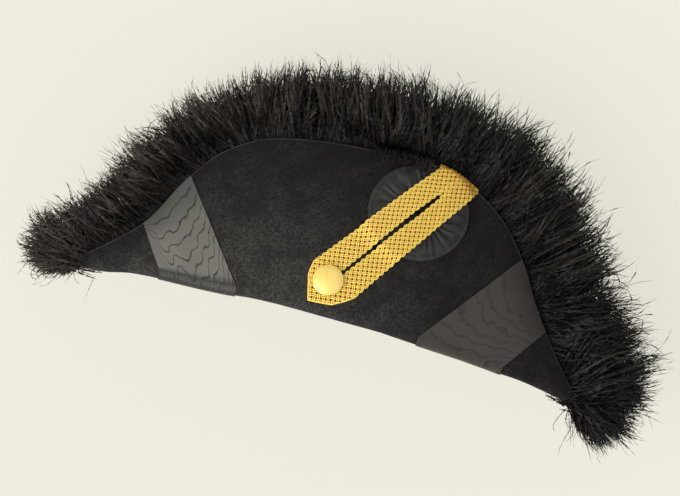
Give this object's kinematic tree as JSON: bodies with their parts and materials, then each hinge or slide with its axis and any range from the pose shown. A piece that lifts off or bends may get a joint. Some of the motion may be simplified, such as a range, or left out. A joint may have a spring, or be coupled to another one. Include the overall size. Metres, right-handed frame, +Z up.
{
  "type": "feather-trimmed cocked hat",
  "caption": "Black felt cocked hat lying on its far side, with a curled feather border, watered-silk bands, a pleated cockade and a buttoned loop of gold lace.",
  "frame": {"origin": "on the surface the hat lies on, below the middle of its box", "axes": "+X along the hat from the left tip to the right tip as the cockade side is seen, +Y towards the feathered edge of the raised leaves, +Z up, out of the leaf that carries the cockade"},
  "size_m": [0.5846, 0.2822, 0.1712],
  "materials": {
    "felt": "matt black fur felt with a short brushed nap",
    "watered_silk": "black watered silk, half gloss, with dark wavy figure",
    "pleated_silk": "black ribbon in fine radial pleats",
    "gold_lace": "looped gilt wire, bright on its crowns and brown between them",
    "gilt_button": "polished gilt with a fine stipple",
    "feather": "matt black curled feather, browner at the tips"
  },
  "bodies": {
    "root": {"brim": "felt", "crown": "felt", "silk_band_left": "watered_silk", "silk_band_right": "watered_silk", "cockade": "pleated_silk", "gold_loop": "gold_lace", "button": "gilt_button", "feather_border_near": "feather", "feather_border_far": "feather"}
  },
  "joints": []
}
